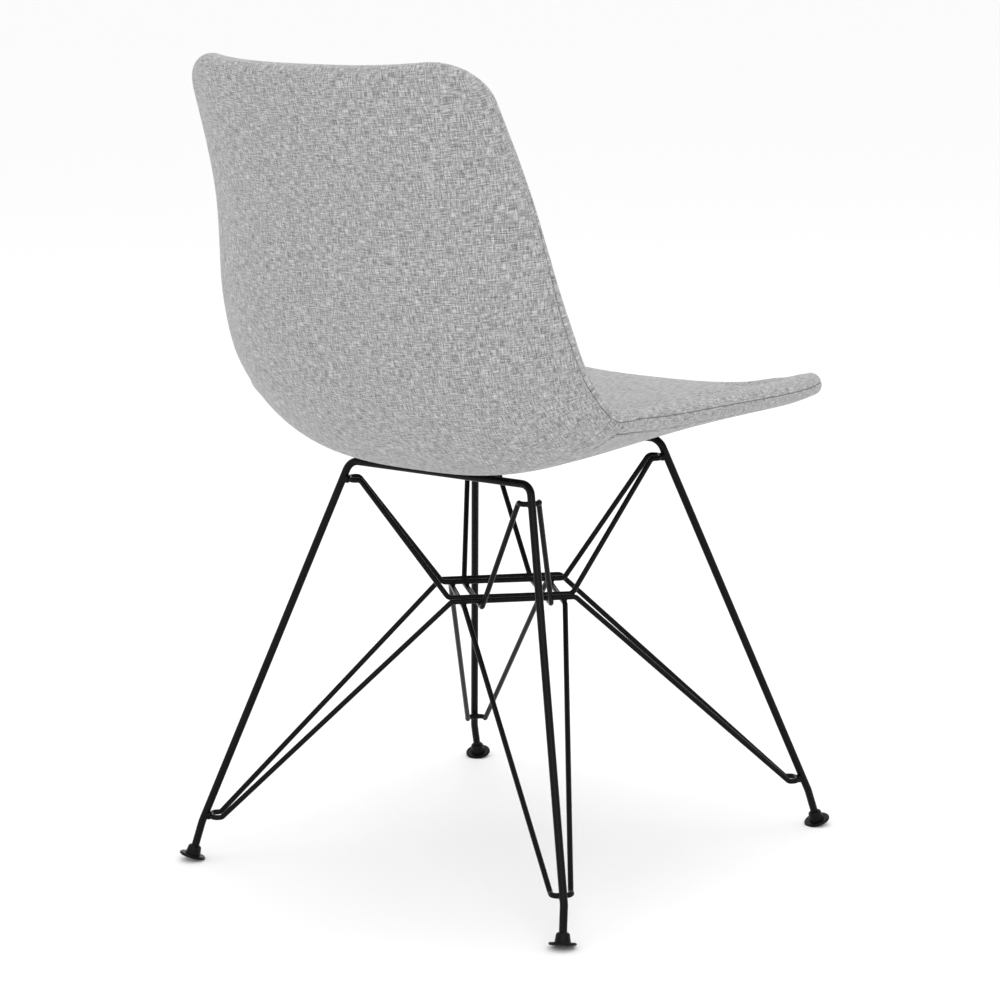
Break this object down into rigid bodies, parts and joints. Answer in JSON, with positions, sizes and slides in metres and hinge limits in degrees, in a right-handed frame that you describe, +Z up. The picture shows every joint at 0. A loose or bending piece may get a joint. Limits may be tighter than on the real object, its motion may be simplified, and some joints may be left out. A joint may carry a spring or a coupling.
{
  "type": "dining chair",
  "caption": "Upholstered shell dining chair without arms, fabric over a bent plywood shell, on a welded wire base of splayed rod legs tied by crossed diagonal brace loops.",
  "frame": {"origin": "on the floor, under the centre of the chair's overall bounding box", "axes": "+Z up, the chair faces -Y, +X to the right of a person who looks along +Y"},
  "size_m": [0.5058, 0.5932, 0.8429],
  "materials": {
    "plywood": "raw",
    "foam": "cut foam",
    "fabric": "light grey melange weave",
    "rod_coating": "satin powder coat",
    "rubber": "matt",
    "zinc_steel": "zinc plated",
    "glide_plastic": "satin moulded"
  },
  "bodies": {
    "root": {"plywood_shell": "plywood", "inner_foam": "foam", "outer_liner_foam": "foam", "inner_cover": "fabric", "outer_back_cover": "fabric", "left_side_border": "fabric", "right_side_border": "fabric", "under_cover": "fabric", "rear_leg_frame": "rod_coating", "front_leg_frame": "rod_coating", "upper_over_brace_loop": "rod_coating", "lower_over_brace_loop": "rod_coating", "upper_under_brace_loop": "rod_coating", "lower_under_brace_loop": "rod_coating", "hairpin_weld_beads": "rod_coating", "crossing_weld_beads": "rod_coating", "tab_weld_beads": "rod_coating", "rear_mounting_tabs": "rod_coating", "front_mounting_tabs": "rod_coating", "rear_spacer_pads": "rubber", "front_spacer_pads": "rubber", "shell_screws": "zinc_steel", "screw_washers": "zinc_steel", "tee_nuts": "zinc_steel", "rear_left_glide": "glide_plastic", "rear_right_glide": "glide_plastic", "front_left_glide": "glide_plastic", "front_right_glide": "glide_plastic"}
  },
  "joints": []
}
